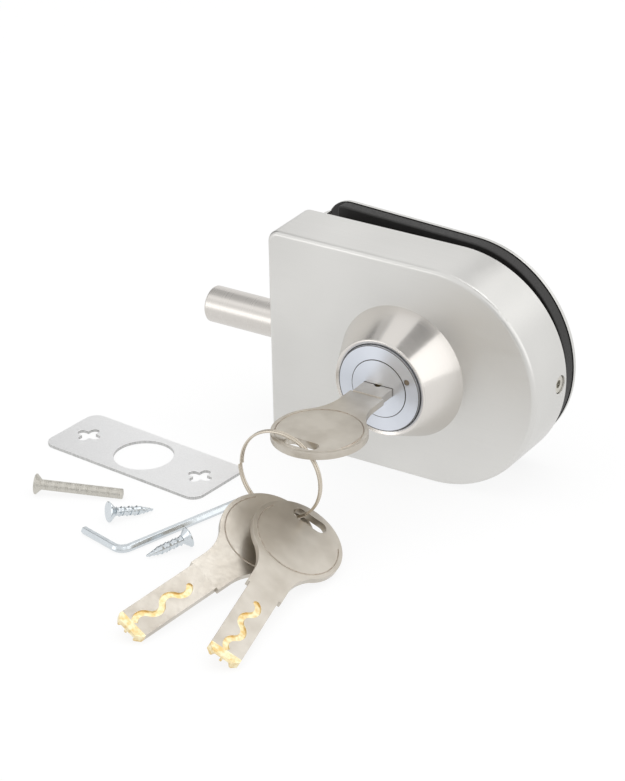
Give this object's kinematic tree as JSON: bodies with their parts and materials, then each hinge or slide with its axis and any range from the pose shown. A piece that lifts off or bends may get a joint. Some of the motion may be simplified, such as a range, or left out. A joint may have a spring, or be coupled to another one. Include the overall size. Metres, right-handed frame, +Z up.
{
  "type": "glass door lock",
  "caption": "Clamp-on lock for a frameless glass door: a key cylinder drives a round bolt by pinion and rack; with keys on a split ring and a strike plate.",
  "frame": {"origin": "on the surface that the lock stands on, under the cylinder's axis and midway between the case's front and back faces", "axes": "+Z up, the key goes in along +Y, the bolt points along -X"},
  "size_m": [0.1367, 0.1438, 0.064],
  "materials": {
    "satin_steel": "satin",
    "satin_bolt": "satin",
    "chrome": "polished",
    "zinc_steel": "zinc plated",
    "spring_steel": "bright wire",
    "pin_brass": "bright",
    "index_pin": "dull",
    "nickel_key": "nickel plated",
    "nickel_ring": "nickel plated",
    "black_rubber": "matt"
  },
  "bodies": {
    "lock_case": {"front_cover": "satin_steel", "cylinder_collar": "satin_steel", "cylinder_housing": "chrome", "chamber_cap": "pin_brass", "housing_pin": "index_pin", "driver_pins": "pin_brass", "pin_springs": "spring_steel", "rack_guide": "zinc_steel", "bolt_guide": "zinc_steel", "base_plate": "zinc_steel", "base_screws": "zinc_steel", "bridge_block": "satin_steel", "front_gasket": "black_rubber", "cover_grub_screw": "zinc_steel", "strike_plate": "satin_steel", "machine_screw": "zinc_steel", "tapping_screws": "zinc_steel", "hex_key": "zinc_steel"},
    "plug": {"cylinder_plug": "chrome", "key_pins": "pin_brass", "drive_pinion": "zinc_steel", "tail_screw": "zinc_steel"},
    "bolt_rack": {"bolt": "satin_bolt", "rack_slide": "zinc_steel", "bolt_screw": "zinc_steel"},
    "clamp_screw_pair": {"clamp_screws": "zinc_steel"},
    "rear_clamp": {"rear_plate": "satin_steel", "rear_gasket": "black_rubber"},
    "turning_key": {"key_in_lock": "nickel_key"},
    "ring": {"key_ring": "nickel_ring"},
    "upper_spare": {"spare_key_upper": "nickel_key"},
    "lower_spare": {"spare_key_lower": "nickel_key"}
  },
  "joints": [
    {"name": "plug_turn", "type": "hinge", "parent": "lock_case", "child": "plug", "pos_m": [0, -0.02055, 0.0316], "axis": [0, 1, 0], "range_deg": [0, 180]},
    {"name": "bolt_slide", "type": "slide", "parent": "lock_case", "child": "bolt_rack", "axis": [1, 0, 0], "range_m": [0, 0.02513]},
    {"name": "clamp_screw_slide", "type": "slide", "parent": "lock_case", "child": "clamp_screw_pair", "axis": [0, 1, 0], "range_m": [-0.0014, 0.0025]},
    {"name": "clamp_tilt", "type": "hinge", "parent": "clamp_screw_pair", "child": "rear_clamp", "pos_m": [-0.0385, 0.02225, 0.032], "axis": [0, 0, 1], "range_deg": [0, 4.2]},
    {"name": "key_pull", "type": "slide", "parent": "plug", "child": "turning_key", "axis": [0, -1, 0], "range_m": [0, 0.0235]},
    {"name": "ring_swing", "type": "hinge", "parent": "turning_key", "child": "ring", "pos_m": [-0.00006, -0.05875, 0.0316], "axis": [1, 0, 0], "range_deg": [-25, 25]},
    {"name": "upper_spare_swing", "type": "hinge", "parent": "ring", "child": "upper_spare", "pos_m": [-0.001, -0.05875, 0.0108], "axis": [1, 0, 0], "range_deg": [-6, 0]},
    {"name": "lower_spare_swing", "type": "hinge", "parent": "ring", "child": "lower_spare", "pos_m": [-0.0051, -0.05875, 0.00945], "axis": [1, 0, 0], "range_deg": [0, 6]}
  ],
  "couplings": [
    {"joint": "bolt_slide", "follows": "plug_turn", "m_per_rad": 0.008}
  ]
}
